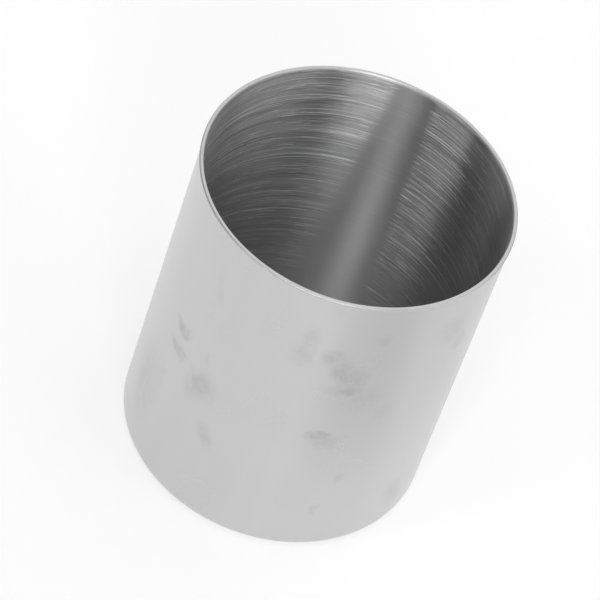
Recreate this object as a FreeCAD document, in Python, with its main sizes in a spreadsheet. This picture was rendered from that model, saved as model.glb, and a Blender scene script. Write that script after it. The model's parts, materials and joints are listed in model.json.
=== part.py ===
import FreeCAD, Part

import math
import os

import Sketcher

# Deep drawn cup: one round blank of sheet steel, drawn over a punch, then trimmed at the lip.
#
# The cup is a single shell of even gauge, so it is modelled the way its drawing dimensions it:
# half of the section, fully constrained, turned once about the draw axis.  The outer and inner
# outlines share their centres at both bends.  The sheet therefore keeps its gauge from the flat
# base, round the punch nose and up the straight wall, to the lip that leans out a little.  There
# the trimmed edge is level, with its outer corner broken.
#
# Frame: millimetres, +Z is the draw axis, and the origin is the centre of the base's underside,
# so the cup stands on Z = 0 with its mouth up.

# Driving dimensions: alias, then value in mm and what it sizes.
SIZES = {
    "outer_diameter": (84.0, "outside of the straight wall"),
    "cup_height": (100.0, "underside of the base to the trimmed edge"),
    "sheet_gauge": (1.0, "thickness of the sheet, the same in base, wall and lip"),
    "punch_nose_radius": (3.0, "inside bend between base and wall, left by the punch"),
    "lip_reach": (0.35, "how far the lip stands out past the straight wall"),
    "lip_bend_radius": (1.5, "outside bend where the wall leans out to the lip"),
    "lip_edge_break": (0.3, "45 degree break on the outer corner of the trimmed edge"),
}
SHEET_NAME = "Sizes"
NODE = "cup"

# Places on a sketch edge, as the sketcher numbers them, and the sketch's own origin point.
START, END, CENTRE = 1, 2, 3
ORIGIN = (-1, 1)


def new_sheet(doc):
    """Put the driving dimensions in a spreadsheet, one aliased cell each."""
    sheet = doc.addObject("Spreadsheet::Sheet", SHEET_NAME)
    for row, (alias, (value, meaning)) in enumerate(SIZES.items(), start=1):
        sheet.set(f"A{row}", meaning)
        sheet.set(f"B{row}", str(value))
        sheet.setAlias(f"B{row}", alias)
    doc.recompute()
    return sheet


def origin_feature(body, role):
    """The body's own origin plane or axis with this role, such as XZ_Plane or Z_Axis."""
    return next(item for item in body.Origin.OriginFeatures if item.Role == role)


def point(x, y):
    """A point of the section: x outwards from the draw axis, y up."""
    return FreeCAD.Vector(x, y, 0)


def line(first, second):
    return Part.LineSegment(first, second)


def arc(centre, radius, start_angle, end_angle):
    """A counter-clockwise arc of the section; angles in radians."""
    circle = Part.Circle(centre, FreeCAD.Vector(0, 0, 1), radius)
    return Part.ArcOfCircle(circle, start_angle, end_angle)


def draw_half_section(sketch, sheet):
    """Lay out the closed half section near its true size; constraints then hold it there.

    Returns each edge's number in the sketch, by name.
    """
    wall_r = sheet.outer_diameter / 2
    gauge = sheet.sheet_gauge
    top = sheet.cup_height
    nose_in = sheet.punch_nose_radius
    nose_out = nose_in + gauge
    nose_centre = point(wall_r - nose_out, nose_out)

    # The outer bend turns until it has reached the lip's overhang, level with the foot of the
    # edge break.  The inner bend runs on about the same centre, up to the trimmed edge.
    bend_out = sheet.lip_bend_radius
    bend_in = bend_out + gauge
    lean_out = math.acos(1 - sheet.lip_reach / bend_out)
    lip_tip = point(wall_r + sheet.lip_reach, top - sheet.lip_edge_break)
    bend_centre = point(wall_r + bend_out, lip_tip.y - bend_out * math.sin(lean_out))
    lean_in = math.asin((top - bend_centre.y) / bend_in)
    edge_out = point(lip_tip.x - sheet.lip_edge_break, top)
    edge_in = point(bend_centre.x - bend_in * math.cos(lean_in), top)

    quarter = (1.5 * math.pi, 2 * math.pi)
    outline = {
        "underside": line(point(0, 0), point(nose_centre.x, 0)),
        "nose_outer": arc(nose_centre, nose_out, *quarter),
        "wall_outer": line(point(wall_r, nose_out), point(wall_r, bend_centre.y)),
        "bend_outer": arc(bend_centre, bend_out, math.pi - lean_out, math.pi),
        "edge_break": line(lip_tip, edge_out),
        "trimmed_edge": line(edge_out, edge_in),
        "bend_inner": arc(bend_centre, bend_in, math.pi - lean_in, math.pi),
        "wall_inner": line(point(wall_r - gauge, bend_centre.y), point(wall_r - gauge, nose_out)),
        "nose_inner": arc(nose_centre, nose_in, *quarter),
        "floor": line(point(nose_centre.x, gauge), point(0, gauge)),
        "axis_side": line(point(0, gauge), point(0, 0)),
    }
    return {name: sketch.addGeometry(shape, False) for name, shape in outline.items()}


def join_outline(sketch, edge):
    """Close the outline: smooth at the bends, with corners only at the lip and the axis."""
    smooth = (
        ("underside", END, "nose_outer", START),
        ("nose_outer", END, "wall_outer", START),
        ("wall_outer", END, "bend_outer", END),
        ("bend_inner", END, "wall_inner", START),
        ("wall_inner", END, "nose_inner", END),
        ("nose_inner", START, "floor", START),
    )
    corners = (
        ("bend_outer", START, "edge_break", START),
        ("edge_break", END, "trimmed_edge", START),
        ("trimmed_edge", END, "bend_inner", START),
        ("floor", END, "axis_side", START),
        ("axis_side", END, "underside", START),
    )
    for kind, joints in (("Tangent", smooth), ("Coincident", corners)):
        for first, first_end, second, second_end in joints:
            sketch.addConstraint(
                Sketcher.Constraint(kind, edge[first], first_end, edge[second], second_end)
            )
    for name in ("underside", "trimmed_edge", "floor"):
        sketch.addConstraint(Sketcher.Constraint("Horizontal", edge[name]))
    for name in ("wall_outer", "wall_inner", "axis_side"):
        sketch.addConstraint(Sketcher.Constraint("Vertical", edge[name]))
    sketch.addConstraint(Sketcher.Constraint("Coincident", edge["underside"], START, *ORIGIN))
    sketch.addConstraint(
        Sketcher.Constraint("Horizontal", edge["bend_outer"], CENTRE, edge["bend_inner"], CENTRE)
    )


def bind(sketch, name, formula, kind, *where):
    """Add a named dimension at its present size, and let a formula on the sheet drive it."""
    if kind == "Radius":
        size = sketch.Geometry[where[0]].Radius
    else:
        step = sketch.getPoint(*where[2:]) - sketch.getPoint(*where[:2])
        size = step.x if kind == "DistanceX" else step.y
    index = sketch.addConstraint(Sketcher.Constraint(kind, *where, size))
    sketch.renameConstraint(index, name)
    sketch.setExpression(f"Constraints.{name}", formula)


def dimension_outline(sketch, edge):
    """Bind every size of the section to the sheet, so that nothing in it is left free."""
    diameter, height, gauge, nose, reach, bend, edge_break = (f"{SHEET_NAME}.{name}" for name in SIZES)

    wall_foot = (edge["wall_outer"], START)
    bind(sketch, "WallRadius", f"{diameter} / 2", "DistanceX", *ORIGIN, *wall_foot)
    bind(sketch, "WallGauge", gauge, "DistanceX", edge["wall_inner"], END, *wall_foot)
    bind(sketch, "BaseGauge", gauge, "DistanceY", *ORIGIN, edge["floor"], START)

    bind(sketch, "NoseInner", nose, "Radius", edge["nose_inner"])
    bind(sketch, "NoseOuter", f"{nose} + {gauge}", "Radius", edge["nose_outer"])
    bind(sketch, "BendOuter", bend, "Radius", edge["bend_outer"])
    bind(sketch, "BendInner", f"{bend} + {gauge}", "Radius", edge["bend_inner"])

    lip_tip = (edge["edge_break"], START)
    edge_out = (edge["edge_break"], END)
    bind(sketch, "LipRadius", f"{diameter} / 2 + {reach}", "DistanceX", *ORIGIN, *lip_tip)
    bind(sketch, "CupHeight", height, "DistanceY", *ORIGIN, *edge_out)
    bind(sketch, "BreakUp", edge_break, "DistanceY", *lip_tip, *edge_out)
    bind(sketch, "BreakIn", edge_break, "DistanceX", *edge_out, *lip_tip)


def new_cup(doc, sheet):
    """One body: the half section in the XZ plane, turned a full circle about +Z."""
    body = doc.addObject("PartDesign::Body", "Cup")
    body.Label = NODE
    body.Placement = FreeCAD.Placement()

    section = body.newObject("Sketcher::SketchObject", "HalfSection")
    section.AttachmentSupport = [(origin_feature(body, "XZ_Plane"), "")]
    section.MapMode = "FlatFace"
    edge = draw_half_section(section, sheet)
    join_outline(section, edge)
    dimension_outline(section, edge)
    doc.recompute()

    shell = body.newObject("PartDesign::Revolution", "DrawnShell")
    shell.Profile = section
    shell.ReferenceAxis = (origin_feature(body, "Z_Axis"), [""])
    shell.Angle = 360.0
    body.Tip = shell
    doc.recompute()
    return body, section


def check(doc, body, section, sheet):
    """Stop before anything is written if a feature failed or the shell is not as designed."""
    for item in doc.Objects:
        faults = {"Invalid", "Error"} & set(item.State)
        if faults:
            raise RuntimeError(f"{item.Label}: {', '.join(sorted(faults))}")
    if section.solve() != 0 or not section.FullyConstrained:
        raise RuntimeError("the half section is not fully constrained")

    shape = body.Shape
    if shape.isNull() or not shape.isValid() or len(shape.Solids) != 1:
        raise RuntimeError("the cup is not one valid solid")
    box = shape.optimalBoundingBox(False)
    across = sheet.outer_diameter + 2 * sheet.lip_reach
    for measured, wanted in ((box.XLength, across), (box.YLength, across), (box.ZMax, sheet.cup_height)):
        if abs(measured - wanted) > 0.01:
            raise RuntimeError(f"the cup measures {measured:.3f} mm where {wanted:.3f} mm is meant")
    print(f"{body.Label}: {box.XLength:.2f} x {box.YLength:.2f} x {box.ZLength:.2f} mm,"
          f" {shape.Volume / 1000:.2f} cm3 of steel, {len(shape.Faces)} faces")


def main():
    doc = FreeCAD.newDocument("DeepDrawnCup")
    sheet = new_sheet(doc)
    body, section = new_cup(doc, sheet)
    check(doc, body, section, sheet)
    os.makedirs("parts", exist_ok=True)
    body.Shape.exportStep(f"parts/{body.Label}.step")


main()
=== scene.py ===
# %% [markdown]
# # A deep drawn steel cup
#
# The real cup is one sheet of stainless steel, pressed over a punch and trimmed at the lip.
# Its shape is simple, so nearly all of its look comes from the finish: a satin outside with a
# few finger marks, an inside that a polishing wheel has lined all the way round, and a trimmed
# edge made brighter with painted highlight.  The CAD model gives the sizes, and this script dresses it.

# %% Load the measured model
import json
import math

import bpy
from mathutils import Matrix, Vector


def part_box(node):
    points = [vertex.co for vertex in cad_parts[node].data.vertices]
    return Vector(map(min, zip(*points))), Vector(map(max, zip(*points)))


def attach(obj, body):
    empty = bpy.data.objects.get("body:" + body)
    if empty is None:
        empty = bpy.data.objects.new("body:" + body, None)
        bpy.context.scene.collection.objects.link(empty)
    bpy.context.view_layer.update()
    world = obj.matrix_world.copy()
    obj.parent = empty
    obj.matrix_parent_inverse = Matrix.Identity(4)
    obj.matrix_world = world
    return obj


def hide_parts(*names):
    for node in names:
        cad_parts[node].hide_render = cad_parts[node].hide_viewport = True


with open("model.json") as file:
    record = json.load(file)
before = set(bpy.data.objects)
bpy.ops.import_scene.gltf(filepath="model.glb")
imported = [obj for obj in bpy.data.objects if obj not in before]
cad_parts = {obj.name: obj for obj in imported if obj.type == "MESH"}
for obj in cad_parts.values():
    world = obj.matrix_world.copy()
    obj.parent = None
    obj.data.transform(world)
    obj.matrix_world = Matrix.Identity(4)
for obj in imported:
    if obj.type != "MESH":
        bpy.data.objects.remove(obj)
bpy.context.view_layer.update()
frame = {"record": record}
low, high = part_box("cup")
print("cup stands from", tuple(low), "to", tuple(high))

# %% [markdown]
# ## Sizes
#
# Every size is read from the model where it can be.  The record's mouth mount gives the radius
# and the foot of the straight inner wall.  Only the gauge and the small shapes of the lip are
# written here, because no box or mount shows them.

# %% Sizes of the section, in metres
MM = 0.001
mouth = next(m for m in frame["record"]["mounts"] if m["name"] == "mouth")
inner_radius = mouth["dims"]["r_mm"] * MM
wall_top = mouth["pos_m"][2]
wall_foot = wall_top - mouth["dims"]["length_mm"] * MM
gauge = 1.0 * MM
lip_bend = 1.5 * MM
edge_break = 0.3 * MM

outer_radius = inner_radius + gauge
lip_radius = high.x
cup_height = high.z
# The base corner ends where the straight wall starts, so that height is its outer radius.
nose_outer = wall_foot
nose_inner = wall_foot - gauge
print(f"outside {outer_radius / MM:.2f} mm, lip {lip_radius / MM:.2f} mm, height {cup_height / MM:.1f} mm")

# %% [markdown]
# ## The shell
#
# A round drawn part could be made with the Screw modifier on a half section.  Here the section
# is turned in mesh code instead, because each stretch of it then knows which finish it carries,
# and the fine spacing goes only where the sheet bends.  The model's own mesh has facets that a
# reflection would show, so this finer one stands for it.

# %% The half section, as named stretches
def bend(centre, radius, start, end, steps):
    """Points on an arc of the section; angles in degrees."""
    angles = [math.radians(start + (end - start) * i / steps) for i in range(steps + 1)]
    return [(centre[0] + radius * math.cos(a), centre[1] + radius * math.sin(a)) for a in angles]


def straight(first, last, steps):
    """Evenly spaced points from first to last."""
    return [
        (first[0] + (last[0] - first[0]) * i / steps, first[1] + (last[1] - first[1]) * i / steps)
        for i in range(steps + 1)
    ]


nose_centre = (outer_radius - nose_outer, nose_outer)
bend_centre = (outer_radius + lip_bend, wall_top)
bend_inner = lip_bend + gauge
lean_out = math.degrees(math.acos(1 - (lip_radius - outer_radius) / lip_bend))
lean_in = math.degrees(math.asin((cup_height - wall_top) / bend_inner))
lip_tip = (lip_radius, cup_height - edge_break)
edge_outside = (lip_radius - edge_break, cup_height)
edge_inside = (bend_centre[0] - bend_inner * math.cos(math.radians(lean_in)), cup_height)

# The inner bend is polished from this share of its lean up to the lip.
POLISHED_FROM = 0.45
polish_ends = 180 - lean_in * POLISHED_FROM

BEND_STEPS = 12
WALL_STEPS = 24
EDGE_STEPS = 2
LIP_STEPS = 3
section = [
    ("underside", straight((0.0, 0.0), (nose_centre[0], 0.0), WALL_STEPS)),
    ("outside", bend(nose_centre, nose_outer, -90, 0, BEND_STEPS)),
    ("outside", straight((outer_radius, nose_outer), (outer_radius, wall_top), WALL_STEPS)),
    ("outside", bend(bend_centre, lip_bend, 180, 180 - lean_out, BEND_STEPS)),
    ("edge", straight(lip_tip, edge_outside, EDGE_STEPS)),
    ("lip", straight(edge_outside, edge_inside, LIP_STEPS)),
    ("bend", bend(bend_centre, bend_inner, 180 - lean_in, polish_ends, BEND_STEPS)),
    ("inside", bend(bend_centre, bend_inner, polish_ends, 180, BEND_STEPS)),
    ("inside", straight((inner_radius, wall_top), (inner_radius, wall_foot), WALL_STEPS)),
    ("inside", bend(nose_centre, nose_inner, 0, -90, BEND_STEPS)),
    ("bottom", straight((nose_centre[0], gauge), (0.0, gauge), WALL_STEPS)),
]
print("section points:", sum(len(points) for _, points in section))

# %% Turn the section into a mesh
FINISHES = ["outside", "lip", "edge", "bend", "inside", "bottom", "underside"]
SEGMENTS = 288
TOUCHING = 1e-9


def turn_section(name, stretches):
    """A closed lathe mesh about Z whose faces carry their stretch's finish as material index."""
    rows = []
    finishes = []
    for finish, points in stretches:
        for x, z in points:
            if rows and math.dist(rows[-1], (x, z)) < TOUCHING:
                continue
            if rows:
                finishes.append(FINISHES.index(finish))
            rows.append((x, z))

    verts = []
    rings = []
    for x, z in rows:
        if x < TOUCHING:
            rings.append([len(verts)] * SEGMENTS)
            verts.append((0.0, 0.0, z))
            continue
        rings.append(list(range(len(verts), len(verts) + SEGMENTS)))
        for k in range(SEGMENTS):
            angle = 2 * math.pi * k / SEGMENTS
            verts.append((x * math.cos(angle), x * math.sin(angle), z))

    faces = []
    face_finish = []
    for finish, ring, ahead in zip(finishes, rings, rings[1:]):
        for k in range(SEGMENTS):
            after = (k + 1) % SEGMENTS
            corners = [ring[k], ring[after], ahead[after], ahead[k]]
            faces.append(list(dict.fromkeys(corners)))
            face_finish.append(finish)

    mesh = bpy.data.meshes.new(name)
    mesh.from_pydata(verts, [], faces)
    mesh.polygons.foreach_set("material_index", face_finish)
    mesh.polygons.foreach_set("use_smooth", [True] * len(faces))
    mesh.validate()
    return mesh


SHARP = math.radians(20)
cup = bpy.data.objects.new("drawn_cup", turn_section("drawn_cup", section))
bpy.context.scene.collection.objects.link(cup)
bpy.context.view_layer.objects.active = cup
cup.select_set(True)
bpy.ops.object.shade_smooth_by_angle(angle=SHARP)
print("cup mesh:", len(cup.data.polygons), "faces")

# %% [markdown]
# ## The shell's place
#
# The finer shell stands for the model's own node, which stays for the physics and no longer
# shows.  The cup has no joint, so it rides on the one body that there is.

# %% Put the shell in the model's place
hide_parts("cup")
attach(cup, "root")

# %% [markdown]
# ## A small language for shaders
#
# A finish is a sum of masks and noises, and a page of linked nodes hides that.  The class below
# wraps one node output, so that `1 - mask * 0.2` adds the Math nodes by itself.  Every other
# node comes from `Tree.node`, which sets its settings first and then its sockets.

# %% Wrap a socket, so that maths reads as maths
DEGREES = 180 / math.pi


class Wire:
    """One output socket; the operators are for a socket that holds a number."""

    def __init__(self, tree, socket):
        self.tree = tree
        self.socket = socket

    def maths(self, operation, *values):
        return self.tree.node("ShaderNodeMath", {"operation": operation}, dict(enumerate(values)))

    def __add__(self, other):
        return self.maths("ADD", self, other)

    def __sub__(self, other):
        return self.maths("SUBTRACT", self, other)

    def __rsub__(self, other):
        return self.maths("SUBTRACT", other, self)

    def __mul__(self, other):
        return self.maths("MULTIPLY", self, other)

    def __pow__(self, other):
        return self.maths("POWER", self, other)

    def __abs__(self):
        return self.maths("ABSOLUTE", self)

    __radd__ = __add__
    __rmul__ = __mul__

    def at_least(self, other):
        return self.maths("MAXIMUM", self, other)

    def at_most(self, other):
        return self.maths("MINIMUM", self, other)

    def angle_from(self, along):
        """The angle, in radians, of the direction that goes `along` and then this far across."""
        return self.maths("ARCTAN2", self, along)

    def fade(self, start, end):
        """A smooth 0 to 1 as the value goes from start to end."""
        settings = {"interpolation_type": "SMOOTHSTEP"}
        sockets = {"Value": self, "From Min": start, "From Max": end}
        return self.tree.node("ShaderNodeMapRange", settings, sockets)


class Tree:
    """A node tree, emptied, and the one way that nodes are added to it."""

    def __init__(self, node_tree):
        self.nodes = node_tree.nodes
        self.links = node_tree.links
        self.nodes.clear()

    def node(self, kind, settings=None, sockets=None, output=0):
        made = self.nodes.new(kind)
        for key, value in (settings or {}).items():
            setattr(made, key, value)
        for key, value in (sockets or {}).items():
            if isinstance(value, Wire):
                self.links.new(value.socket, made.inputs[key])
            else:
                made.inputs[key].default_value = value
        return Wire(self, made.outputs[output]) if len(made.outputs) else None

    def split(self, vector):
        """The X, Y and Z of a vector as three wires."""
        first = self.node("ShaderNodeSeparateXYZ", {}, {"Vector": vector})
        return [Wire(self, socket) for socket in first.socket.node.outputs]

    def join(self, x, y, z):
        return self.node("ShaderNodeCombineXYZ", {}, {"X": x, "Y": y, "Z": z})

    def noise(self, vector, scale, detail=2.0, roughness=0.5):
        """A noise from 0 to 1, mostly near a half."""
        sockets = {"Vector": vector, "Scale": scale, "Detail": detail, "Roughness": roughness}
        return self.node("ShaderNodeTexNoise", {"noise_dimensions": "3D"}, sockets)

    def grey(self, value):
        """A neutral colour of this brightness."""
        return self.node("ShaderNodeCombineColor", {}, {"Red": value, "Green": value, "Blue": value})


print("shader helpers ready")

# %% [markdown]
# ## Where a point is on the cup
#
# All of the finishes follow the way the cup was worked: round the axis and up the wall.  So
# each starts from three numbers in millimetres, the way round from the front, the radius and
# the height.  The way round is an arc length on the wall, so a finger mark keeps its shape.

# %% Cylinder places
def places(tree):
    """(way round from the front, radius, height), all in millimetres, and the point itself."""
    point = tree.node("ShaderNodeTexCoord", output="Object")
    x, y, z = tree.split(point)
    turn = x.angle_from(0 - y)
    radius = (x * x + y * y) ** 0.5
    return turn * (outer_radius / MM), radius * (1 / MM), z * (1 / MM), point


def from_back(tree, point):
    """Degrees round from the back of the cup; the right of the cup is positive."""
    x, y, _ = tree.split(point)
    return x.angle_from(y) * DEGREES


print("cylinder places ready; once round the outside is", round(2 * math.pi * outer_radius / MM), "mm")

# %% [markdown]
# ## What every steel finish shares
#
# All of the cup is one metal, so each finish is the same Principled shader with Metallic at 1.
# What differs is its tone, its roughness and how it was rubbed.  A quarter turn of anisotropy
# stretches a reflection up the wall, across the direction of rubbing.

# %% A bare finish and its steel
UP_THE_WALL = 0.25


def new_finish(name):
    """An empty material and its tree."""
    material = bpy.data.materials.new(name)
    material.use_nodes = True
    return material, Tree(material.node_tree)


def steel(tree, tone, roughness, spread=0.0, normal=None):
    """Close a finish; spread, from 0 to 1, is how far reflections are drawn up the wall."""
    sockets = {"Base Color": tree.grey(tone), "Roughness": roughness, "Metallic": 1.0}
    if spread:
        sockets["Anisotropic"] = spread
        sockets["Anisotropic Rotation"] = UP_THE_WALL
    if normal is not None:
        sockets["Normal"] = normal
    shader = tree.node("ShaderNodeBsdfPrincipled", {}, sockets)
    tree.node("ShaderNodeOutputMaterial", {}, {"Surface": shader})


print("reflections are turned up the wall by", UP_THE_WALL, "of a turn")

# %% [markdown]
# ## The outside: satin steel with finger marks
#
# The outside was rubbed to an even satin, so its reflections are wide and soft.  Skin grease
# dulls it in places.  Each mark could be painted, but here it is a soft oval on the wall, broken
# up by noise, which darkens the steel a little and roughens it.

# %% Finger marks
# way round from the front (degrees), height, half width, half height (mm), lean (degrees), strength
FINGER_MARKS = [
    (-45.0, 57.0, 4.0, 2.6, 0, 1.3),
    (-44.5, 49.8, 4.0, 2.3, -8, 1.15),
    (-29.5, 46.5, 5.0, 5.4, -20, 0.95),
    (-33.0, 43.0, 3.4, 4.0, 10, 0.5),
    (-31.0, 56.5, 1.6, 1.8, 0, 0.35),
    (-22.0, 31.0, 2.4, 4.6, 25, 0.8),
    (-49.0, 35.0, 1.8, 5.5, 0, 0.3),
    (-58.0, 26.0, 7.0, 15.0, 0, 0.55),
    (1.5, 77.0, 3.6, 4.4, 0, 0.7),
    (3.0, 84.0, 2.8, 4.2, -10, 0.6),
    (9.0, 96.0, 1.6, 2.0, 0, 0.4),
    (12.5, 79.0, 3.0, 3.4, 15, 0.9),
    (17.5, 74.0, 3.8, 5.6, 30, 1.05),
    (21.5, 71.5, 5.0, 4.4, 20, 0.85),
    (22.0, 67.3, 5.0, 1.9, 5, 1.15),
    (28.0, 64.0, 5.0, 6.0, 0, 0.45),
    (28.0, 88.0, 2.2, 1.9, 0, 0.5),
    (17.0, 48.0, 3.2, 2.2, 0, 1.3),
    (20.0, 45.0, 4.0, 3.0, 0, 0.6),
    (31.0, 31.0, 1.6, 1.5, 0, 0.6),
    (26.0, 17.0, 1.5, 2.8, 0, 0.5),
    (39.0, 58.0, 2.4, 3.0, 0, 0.3),
    (57.5, 85.5, 5.0, 6.5, 15, 0.45),
    (64.5, 77.0, 3.6, 5.0, 25, 0.5),
    (62.0, 15.0, 4.4, 7.0, 15, 0.5),
    (-35.0, 82.0, 1.5, 6.0, 15, 0.25),
]
DRAG_MM = 6.0
DRAG_SCALE = 190.0
DRAG_ELSEWHERE = (0.3, 0.1, 0.2)
MARK_RIM = 1.35
MARK_CORE = 0.2


def finger_marks(tree, arc, height, point):
    """0 on clean steel, about 1 in the middle of a strong mark."""
    # Skin drags as it lifts, so the ovals are pulled about before they are measured.
    drag_across = (tree.noise(point, DRAG_SCALE, 3.0, 0.65) - 0.5) * DRAG_MM
    elsewhere = tree.node("ShaderNodeVectorMath", {}, {0: point, 1: DRAG_ELSEWHERE})
    drag_up = (tree.noise(elsewhere, DRAG_SCALE, 3.0, 0.65) - 0.5) * DRAG_MM
    total = None
    for degrees, level, half_wide, half_high, lean, strength in FINGER_MARKS:
        across = arc + drag_across - math.radians(degrees) * outer_radius / MM
        up = height + drag_up - level
        cosine = math.cos(math.radians(lean))
        sine = math.sin(math.radians(lean))
        along = (across * cosine + up * sine) * (1 / half_wide)
        over = (up * cosine - across * sine) * (1 / half_high)
        reach = (along * along + over * over) ** 0.5
        mark = reach.fade(MARK_RIM, MARK_CORE) * strength
        total = mark if total is None else total.at_least(mark)
    mottle = tree.noise(point, 520.0, 3.0, 0.7).fade(0.3, 0.7)
    return total * (0.5 + mottle * 0.8)


print(len(FINGER_MARKS), "finger marks")

# %% The outside finish
SATIN_TONE = 0.60
SATIN_ROUGHNESS = 0.28
SATIN_SPREAD = 0.45


def outside_finish():
    material, tree = new_finish("satin_outside")
    arc, _, height, point = places(tree)
    marks = finger_marks(tree, arc, height, point)

    # Rubbing leaves cloudy patches a few centimetres across and soft streaks up the wall.
    clouds = tree.noise(point, 45.0) - 0.5
    x, y, z = tree.split(point)
    streaks = tree.noise(tree.join(x, y, z * 0.12), 170.0) - 0.5

    tone = SATIN_TONE + clouds * 0.03 + streaks * 0.02 - marks * 0.08
    roughness = SATIN_ROUGHNESS + clouds * 0.04 + marks * 0.07
    steel(tree, tone, roughness, SATIN_SPREAD)
    return material


satin_outside = outside_finish()
print("made", satin_outside.name)

# %% [markdown]
# ## The inside: polishing lines
#
# A wheel was run round the inside, and it left lines at every height, some deep and most fine.
# Lines that run round spread a reflection up and down the wall, which is why the inside shows
# upright streaks.  The shader's anisotropy makes those streaks, and a bump adds the lines.
# The wheel missed a strip at the back, and it pressed more lightly on the right.

# %% Where the wheel pressed
# Degrees from the back where each edge starts to fade and where it is full.
STRIP_RIGHT = (19.0, 14.0)
STRIP_LEFT = (-3.0, 2.0)
STRIP_TOP_MM = 98.0
STRIP_WIDENS = 0.15
WORN_SIDE = (30.0, 45.0)


def smooth_strip(tree, point, height):
    """1 in the strip at the back that the wheel left smooth, wider towards the bottom."""
    degrees = from_back(tree, point)
    left_edge = (height - STRIP_TOP_MM) * STRIP_WIDENS
    return degrees.fade(*STRIP_RIGHT) * (degrees - left_edge).fade(*STRIP_LEFT)


def worn_side(tree, point):
    """1 on the right of the inside, where the lines are fainter."""
    return from_back(tree, point).fade(*WORN_SIDE)


print("the strip widens by", STRIP_WIDENS, "degrees for each millimetre down")

# %% The inside finish
# Each kind of line: how far apart up the wall (mm), and how quickly it changes round the wall.
FINE_LINES = (0.17, 30.0)
BROAD_LINES = (0.34, 24.0)
DEEP_LINES = (0.42, 16.0)
SHORT_LINES = (0.30, 130.0)
INSIDE_TONE = 0.56
BRIGHTEST = 0.95
INSIDE_ROUGHNESS = 0.39
INSIDE_SPREAD = 1.0
LINE_DEPTH = 0.0001
LINE_DETAIL = 1.0
LINE_GRAIN = 0.55


def ring_lines(tree, point, spacing_mm, around):
    """Noise that changes quickly with height and slowly round the wall."""
    x, y, z = tree.split(point)
    up_scale = 1 / (spacing_mm * MM)
    return tree.noise(tree.join(x * around, y * around, z * up_scale), 1.0, LINE_DETAIL, LINE_GRAIN)


def inside_finish():
    material, tree = new_finish("lined_inside")
    _, _, height, point = places(tree)
    fine = ring_lines(tree, point, *FINE_LINES) - 0.5
    broad = ring_lines(tree, point, *BROAD_LINES) - 0.5
    # Only the peaks of these two noises count, so they are lines with bare wall between them.
    deep = ring_lines(tree, point, *DEEP_LINES).fade(0.62, 0.70)
    short = ring_lines(tree, point, *SHORT_LINES).fade(0.62, 0.72)
    patches = tree.noise(point, 40.0).fade(0.30, 0.62)

    # The wheel pressed harder near the mouth, so the lines fade towards the bottom.
    pressed = height.fade(5.0, 80.0) * (0.45 + patches * 0.55)
    lined = (0.15 + pressed * 0.85) * (1 - smooth_strip(tree, point, height) * 0.9)
    lined = lined * (1 - worn_side(tree, point) * 0.5)

    tone = INSIDE_TONE + (fine * 0.9 + broad * 0.6 + deep * 0.45 + short * 0.45) * lined
    roughness = INSIDE_ROUGHNESS + (0.03 + fine * 0.10 + broad * 0.10) * lined
    relief = (fine * 1.7 + broad * 1.8 + deep + short * 1.1) * lined
    bump = tree.node("ShaderNodeBump", {}, {"Height": relief, "Strength": 1.0, "Distance": LINE_DEPTH})
    steel(tree, tone.at_most(BRIGHTEST), roughness, INSIDE_SPREAD, bump)
    return material


lined_inside = inside_finish()
print("made", lined_inside.name)

# %% [markdown]
# ## The lip
#
# The lip's flat top was trimmed, and the wheel polished the bend just inside it.  Both get a lighter
# tone than the rest of the steel.  That extra tone is painted highlight for the light that the top of
# the cup catches.  The outer edge was broken by hand, so it is duller and rougher.  All three were
# rubbed the way round, so one function makes them with a tone and a roughness each.

# %% The three finishes of the lip
RUB_DEPTH = 0.0001


def lip_finish(name, tone_level, rough_level):
    material, tree = new_finish(name)
    arc, radius, _, _ = places(tree)
    # A noise that is stretched the way round, and fine from the inside to the outside.
    rub = tree.noise(tree.join(arc * 0.08, radius * 6.0, 0.0), 1.0) - 0.5
    bump = tree.node("ShaderNodeBump", {}, {"Height": rub, "Strength": 0.1, "Distance": RUB_DEPTH})
    steel(tree, tone_level + rub * 0.10, rough_level + rub * 0.08, normal=bump)
    return material


# The lip's top and the bend are toned above the rest of the steel, as painted highlight.
trimmed_lip_painted_highlight = lip_finish("trimmed_lip_painted_highlight", 0.86, 0.30)
broken_edge = lip_finish("broken_edge", 0.62, 0.50)
polished_bend_painted_highlight = lip_finish("polished_bend_painted_highlight", 0.72, 0.44)
print("made", trimmed_lip_painted_highlight.name, broken_edge.name, polished_bend_painted_highlight.name)

# %% [markdown]
# ## The base
#
# The two flat faces of the base were barely worked.  They keep the soft clouds of rolled sheet
# and the faint rings that the press leaves, and a noise of the radius alone draws those rings.

# %% The two faces of the base
def base_finish(name, tone_level, rough_level):
    material, tree = new_finish(name)
    _, radius, _, point = places(tree)
    rings = tree.noise(tree.join(radius * 0.8, 0.0, 0.0), 1.0, 1.0) - 0.5
    clouds = tree.noise(point, 60.0) - 0.5
    steel(tree, tone_level + clouds * 0.06 + rings * 0.12, rough_level + clouds * 0.06 + rings * 0.08)
    return material


ringed_bottom = base_finish("ringed_bottom", 0.52, 0.38)
plain_underside = base_finish("plain_underside", 0.57, 0.36)
print("made", ringed_bottom.name, plain_underside.name)

# %% [markdown]
# ## Dress the shell
#
# Each face already carries the number of its finish, so the materials only have to be added in
# that order.

# %% Give each stretch its finish
stretch_finish = {
    "outside": satin_outside,
    "lip": trimmed_lip_painted_highlight,
    "edge": broken_edge,
    "bend": polished_bend_painted_highlight,
    "inside": lined_inside,
    "bottom": ringed_bottom,
    "underside": plain_underside,
}
for stretch in FINISHES:
    cup.data.materials.append(stretch_finish[stretch])
counts = [0] * len(FINISHES)
for face in cup.data.polygons:
    counts[face.material_index] += 1
print({m.name: n for m, n in zip(cup.data.materials, counts)})

# %% [markdown]
# ## The studio
#
# Bare steel has no colour of its own to speak of: it shows the room.  So the room is built
# with care.  The cup stands on a white floor.  The dome above is grey and has tall soft
# boxes in it, which draw the upright streaks inside the cup.

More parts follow.
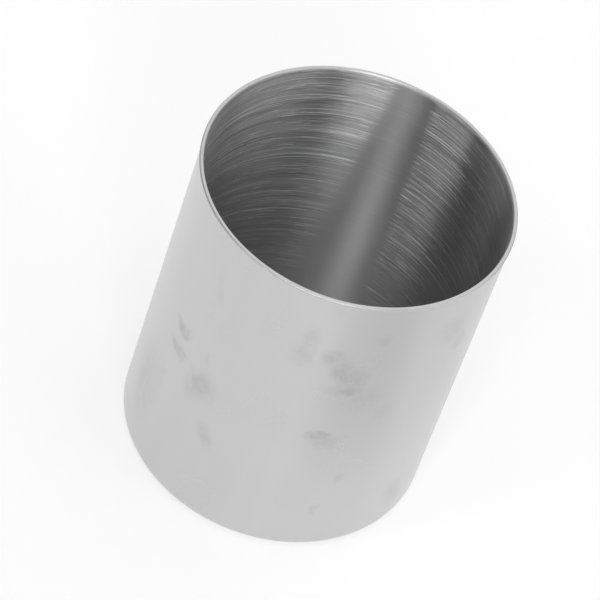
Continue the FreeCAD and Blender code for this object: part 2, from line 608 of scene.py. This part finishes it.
# %% The floor
FLOOR_SIZE = 6.0
half = FLOOR_SIZE / 2
corners = [(-half, -half, 0), (half, -half, 0), (half, half, 0), (-half, half, 0)]
floor_mesh = bpy.data.meshes.new("floor")
floor_mesh.from_pydata(corners, [], [(0, 1, 2, 3)])
floor = bpy.data.objects.new("floor", floor_mesh)
bpy.context.scene.collection.objects.link(floor)
print("floor", FLOOR_SIZE, "m square")

# %% [markdown]
# ## White paper under the cup
#
# The floor must look white to the eye and to the steel, and still take the cup's shadow.  Its
# own paper gives most of that, and a little glow makes up what is missing.  Only camera rays
# and mirror rays see the glow, so it puts no extra light on anything.  On some sides of the cup
# the glow is dimmed in soft patches that only mirror rays see.  This is painted shade, which draws
# darker bands down the steel where it reflects the floor.

# %% The floor's paper
PAPER = 0.40
GLOW = 0.66
# painted shade in the floor's glow, seen only in reflections: compass (degrees, 0 is +X and 90 is behind),
# half width, soft edge, depth
PAINTED_SHADE_PATCHES = [
    (-46.0, 12.0, 20.0, 0.17),
    (-10.0, 20.0, 50.0, 0.08),
    (90.0, 8.0, 16.0, 0.30),
]
# Metres from the axis where the painted shade begins and where it is full.
PAINTED_SHADE_REACH = (0.062, 0.095)


def away(compass, middle):
    """How far round a direction is from a middle, in degrees."""
    off = compass - middle
    return abs(off.maths("WRAP", off, 180.0, -180.0))


def floor_finish():
    material, tree = new_finish("white_floor")
    camera_ray = tree.node("ShaderNodeLightPath", output="Is Camera Ray")
    glossy_ray = tree.node("ShaderNodeLightPath", output="Is Glossy Ray")
    paper = tree.node("ShaderNodeBsdfDiffuse", {}, {"Color": (PAPER, PAPER, PAPER, 1.0)})

    x, y, _ = tree.split(tree.node("ShaderNodeTexCoord", output="Object"))
    distance = (x * x + y * y) ** 0.5
    compass = y.angle_from(x) * DEGREES
    # Painted shade: soft patches where the glow is dimmed for mirror rays only.
    painted_shade = None
    for middle, half_wide, soft, depth in PAINTED_SHADE_PATCHES:
        shade_patch = away(compass, middle).fade(half_wide + soft, half_wide) * depth
        painted_shade = shade_patch if painted_shade is None else painted_shade + shade_patch
    painted_shade = painted_shade * distance.fade(*PAINTED_SHADE_REACH)

    seen = camera_ray.at_least(glossy_ray)
    strength = seen * (1 - painted_shade * (1 - camera_ray)) * GLOW
    glow = tree.node("ShaderNodeEmission", {}, {"Strength": strength})
    both = tree.node("ShaderNodeAddShader", {}, {0: paper, 1: glow})
    tree.node("ShaderNodeOutputMaterial", {}, {"Surface": both})
    return material


floor.data.materials.append(floor_finish())
print("floor paper", PAPER, "glow", GLOW, "painted_shade", len(PAINTED_SHADE_PATCHES))

# %% [markdown]
# ## The room that the steel sees
#
# Each soft box below is a patch of the dome: its middle by compass and height, and its half
# widths.  Lines that run round the wall blur a patch up and down but not sideways, so a patch's
# width sets the width of its streak, and its height only how bright that streak is.  A pale
# horizon lights the bends of the lip, and a pale ceiling lights the floor and the bottom.

# %% Soft boxes in the dome
# compass, elevation, half width, half height, soft edge (all degrees), strength
SOFT_BOXES = [
    (-102.0, 63.0, 4.2, 25.0, 1.5, 8.8),
    (-80.0, 9.0, 6.0, 8.0, 3.0, 5.2),
    (-74.0, 25.0, 5.0, 9.0, 3.0, 5.0),
    (-67.5, 34.0, 4.5, 13.0, 2.5, 3.7),
    (-139.0, 35.0, 4.0, 17.0, 2.0, 3.9),
    (-180.0, 14.0, 14.0, 8.0, 5.0, 0.35),
    (-10.0, 26.0, 24.0, 21.0, 4.0, 1.25),
    (56.0, 46.0, 20.0, 12.0, 8.0, 1.15),
    (98.0, 46.0, 12.0, 12.0, 8.0, 0.7),
]
DOME = 0.10
HORIZON = 0.8
HORIZON_EDGE = (16.0, 8.0)
CEILING = 1.8
CEILING_EDGE = (60.0, 68.0)


def room():
    """A world that lights the cup from its soft boxes, and that the camera sees as white."""
    world = bpy.data.worlds.new("studio")
    bpy.context.scene.world = world
    world.use_nodes = True
    tree = Tree(world.node_tree)
    x, y, z = tree.split(tree.node("ShaderNodeTexCoord", output="Generated"))
    compass = y.angle_from(x) * DEGREES
    lift = z.maths("ARCSINE", z) * DEGREES
    light = None
    for middle, level, half_wide, half_high, soft, strength in SOFT_BOXES:
        sideways = away(compass, middle).fade(half_wide + soft, half_wide)
        upward = abs(lift - level).fade(half_high + soft, half_high)
        patch = sideways * upward * strength
        light = patch if light is None else light + patch
    light = light + lift.fade(*HORIZON_EDGE) * HORIZON + lift.fade(*CEILING_EDGE) * CEILING + DOME

    camera_ray = tree.node("ShaderNodeLightPath", output="Is Camera Ray")
    strength = light + (1 - light) * camera_ray
    background = tree.node("ShaderNodeBackground", {}, {"Strength": strength})
    tree.node("ShaderNodeOutputWorld", {}, {"Surface": background})


room()
print(len(SOFT_BOXES), "soft boxes in a dome of", DOME)

# %% [markdown]
# ## The camera
#
# A long lens looks down on the cup from in front, and is turned a little on its own axis, so
# that the cup leans.

# %% The camera
CAMERA_PLACE = Vector((0.0, -722.1, 816.1)) * MM
CAMERA_AIM = Vector((-4.27, 0.0, 51.6)) * MM
CAMERA_ROLL = math.radians(20.16)
LENS_MM = 236.8
SENSOR_MM = 36.0
NEAR_CLIP = 0.05

camera_data = bpy.data.cameras.new("camera")
camera_data.lens = LENS_MM
camera_data.sensor_width = SENSOR_MM
camera_data.clip_start = NEAR_CLIP
camera = bpy.data.objects.new("camera", camera_data)
bpy.context.scene.collection.objects.link(camera)
sight = CAMERA_AIM - CAMERA_PLACE
look = sight.to_track_quat("-Z", "Y").to_matrix().to_4x4()
camera.matrix_world = Matrix.Translation(CAMERA_PLACE) @ look @ Matrix.Rotation(CAMERA_ROLL, 4, "Z")
bpy.context.scene.camera = camera
print("camera", round(sight.length, 3), "m from its aim")

# %% [markdown]
#
# The view settings stay plain, so that a colour looks as it was written.

# %% View settings
bpy.context.scene.view_settings.view_transform = "Standard"
print("view transform:", bpy.context.scene.view_settings.view_transform)
